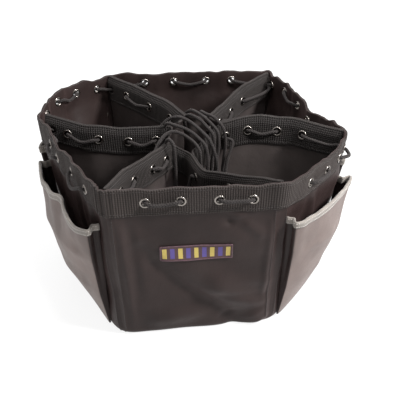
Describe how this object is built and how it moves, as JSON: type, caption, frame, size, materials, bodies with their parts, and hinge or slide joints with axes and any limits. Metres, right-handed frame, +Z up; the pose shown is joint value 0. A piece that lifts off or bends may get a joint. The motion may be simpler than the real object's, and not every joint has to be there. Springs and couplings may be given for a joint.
{
  "type": "garden tool bag",
  "caption": "Hexagonal fabric tool bag with drawstring pouches round the middle, webbing and eyelets along every rim, and bound outer pockets on its side walls.",
  "frame": {"origin": "on the ground under the middle of the bag's bounding box", "axes": "+Z up, -Y towards the front wall that carries the label, +X to the right of someone facing that wall"},
  "size_m": [0.3757, 0.3539, 0.2005],
  "materials": {
    "nylon": "dark brown-black coated nylon, soft sheen",
    "pocket_nylon": "paler dark grey-brown nylon, soft sheen",
    "webbing": "ribbed polypropylene webbing, matt",
    "binding": "light grey woven edge tape, matt",
    "cord": "dark braided cord, matt",
    "eyelet": "nickel-plated, bright",
    "label": "woven label with plain coloured bands"
  },
  "bodies": {
    "root": {"base_panel": "nylon", "rim_webbing": "webbing", "label_patch": "label", "wall_front": "nylon", "lining_front": "nylon", "lining_webbing_front": "webbing", "eyelet_front_1": "eyelet", "eyelet_front_2": "eyelet", "eyelet_front_3": "eyelet", "eyelet_front_4": "eyelet", "drawstring_front": "cord", "wall_front_right": "nylon", "lining_front_right": "nylon", "lining_webbing_front_right": "webbing", "eyelet_front_right_1": "eyelet", "eyelet_front_right_2": "eyelet", "eyelet_front_right_3": "eyelet", "eyelet_front_right_4": "eyelet", "drawstring_front_right": "cord", "wall_back_right": "nylon", "lining_back_right": "nylon", "lining_webbing_back_right": "webbing", "eyelet_back_right_1": "eyelet", "eyelet_back_right_2": "eyelet", "eyelet_back_right_3": "eyelet", "eyelet_back_right_4": "eyelet", "drawstring_back_right": "cord", "wall_back": "nylon", "lining_back": "nylon", "lining_webbing_back": "webbing", "eyelet_back_1": "eyelet", "eyelet_back_2": "eyelet", "eyelet_back_3": "eyelet", "eyelet_back_4": "eyelet", "drawstring_back": "cord", "wall_back_left": "nylon", "lining_back_left": "nylon", "lining_webbing_back_left": "webbing", "eyelet_back_left_1": "eyelet", "eyelet_back_left_2": "eyelet", "eyelet_back_left_3": "eyelet", "eyelet_back_left_4": "eyelet", "drawstring_back_left": "cord", "wall_front_left": "nylon", "lining_front_left": "nylon", "lining_webbing_front_left": "webbing", "eyelet_front_left_1": "eyelet", "eyelet_front_left_2": "eyelet", "eyelet_front_left_3": "eyelet", "eyelet_front_left_4": "eyelet", "drawstring_front_left": "cord", "pocket_front_right": "pocket_nylon", "pocket_binding_front_right": "binding", "pocket_back_right": "pocket_nylon", "pocket_binding_back_right": "binding", "pocket_back_left": "pocket_nylon", "pocket_binding_back_left": "binding", "pocket_front_left": "pocket_nylon", "pocket_binding_front_left": "binding"}
  },
  "joints": []
}
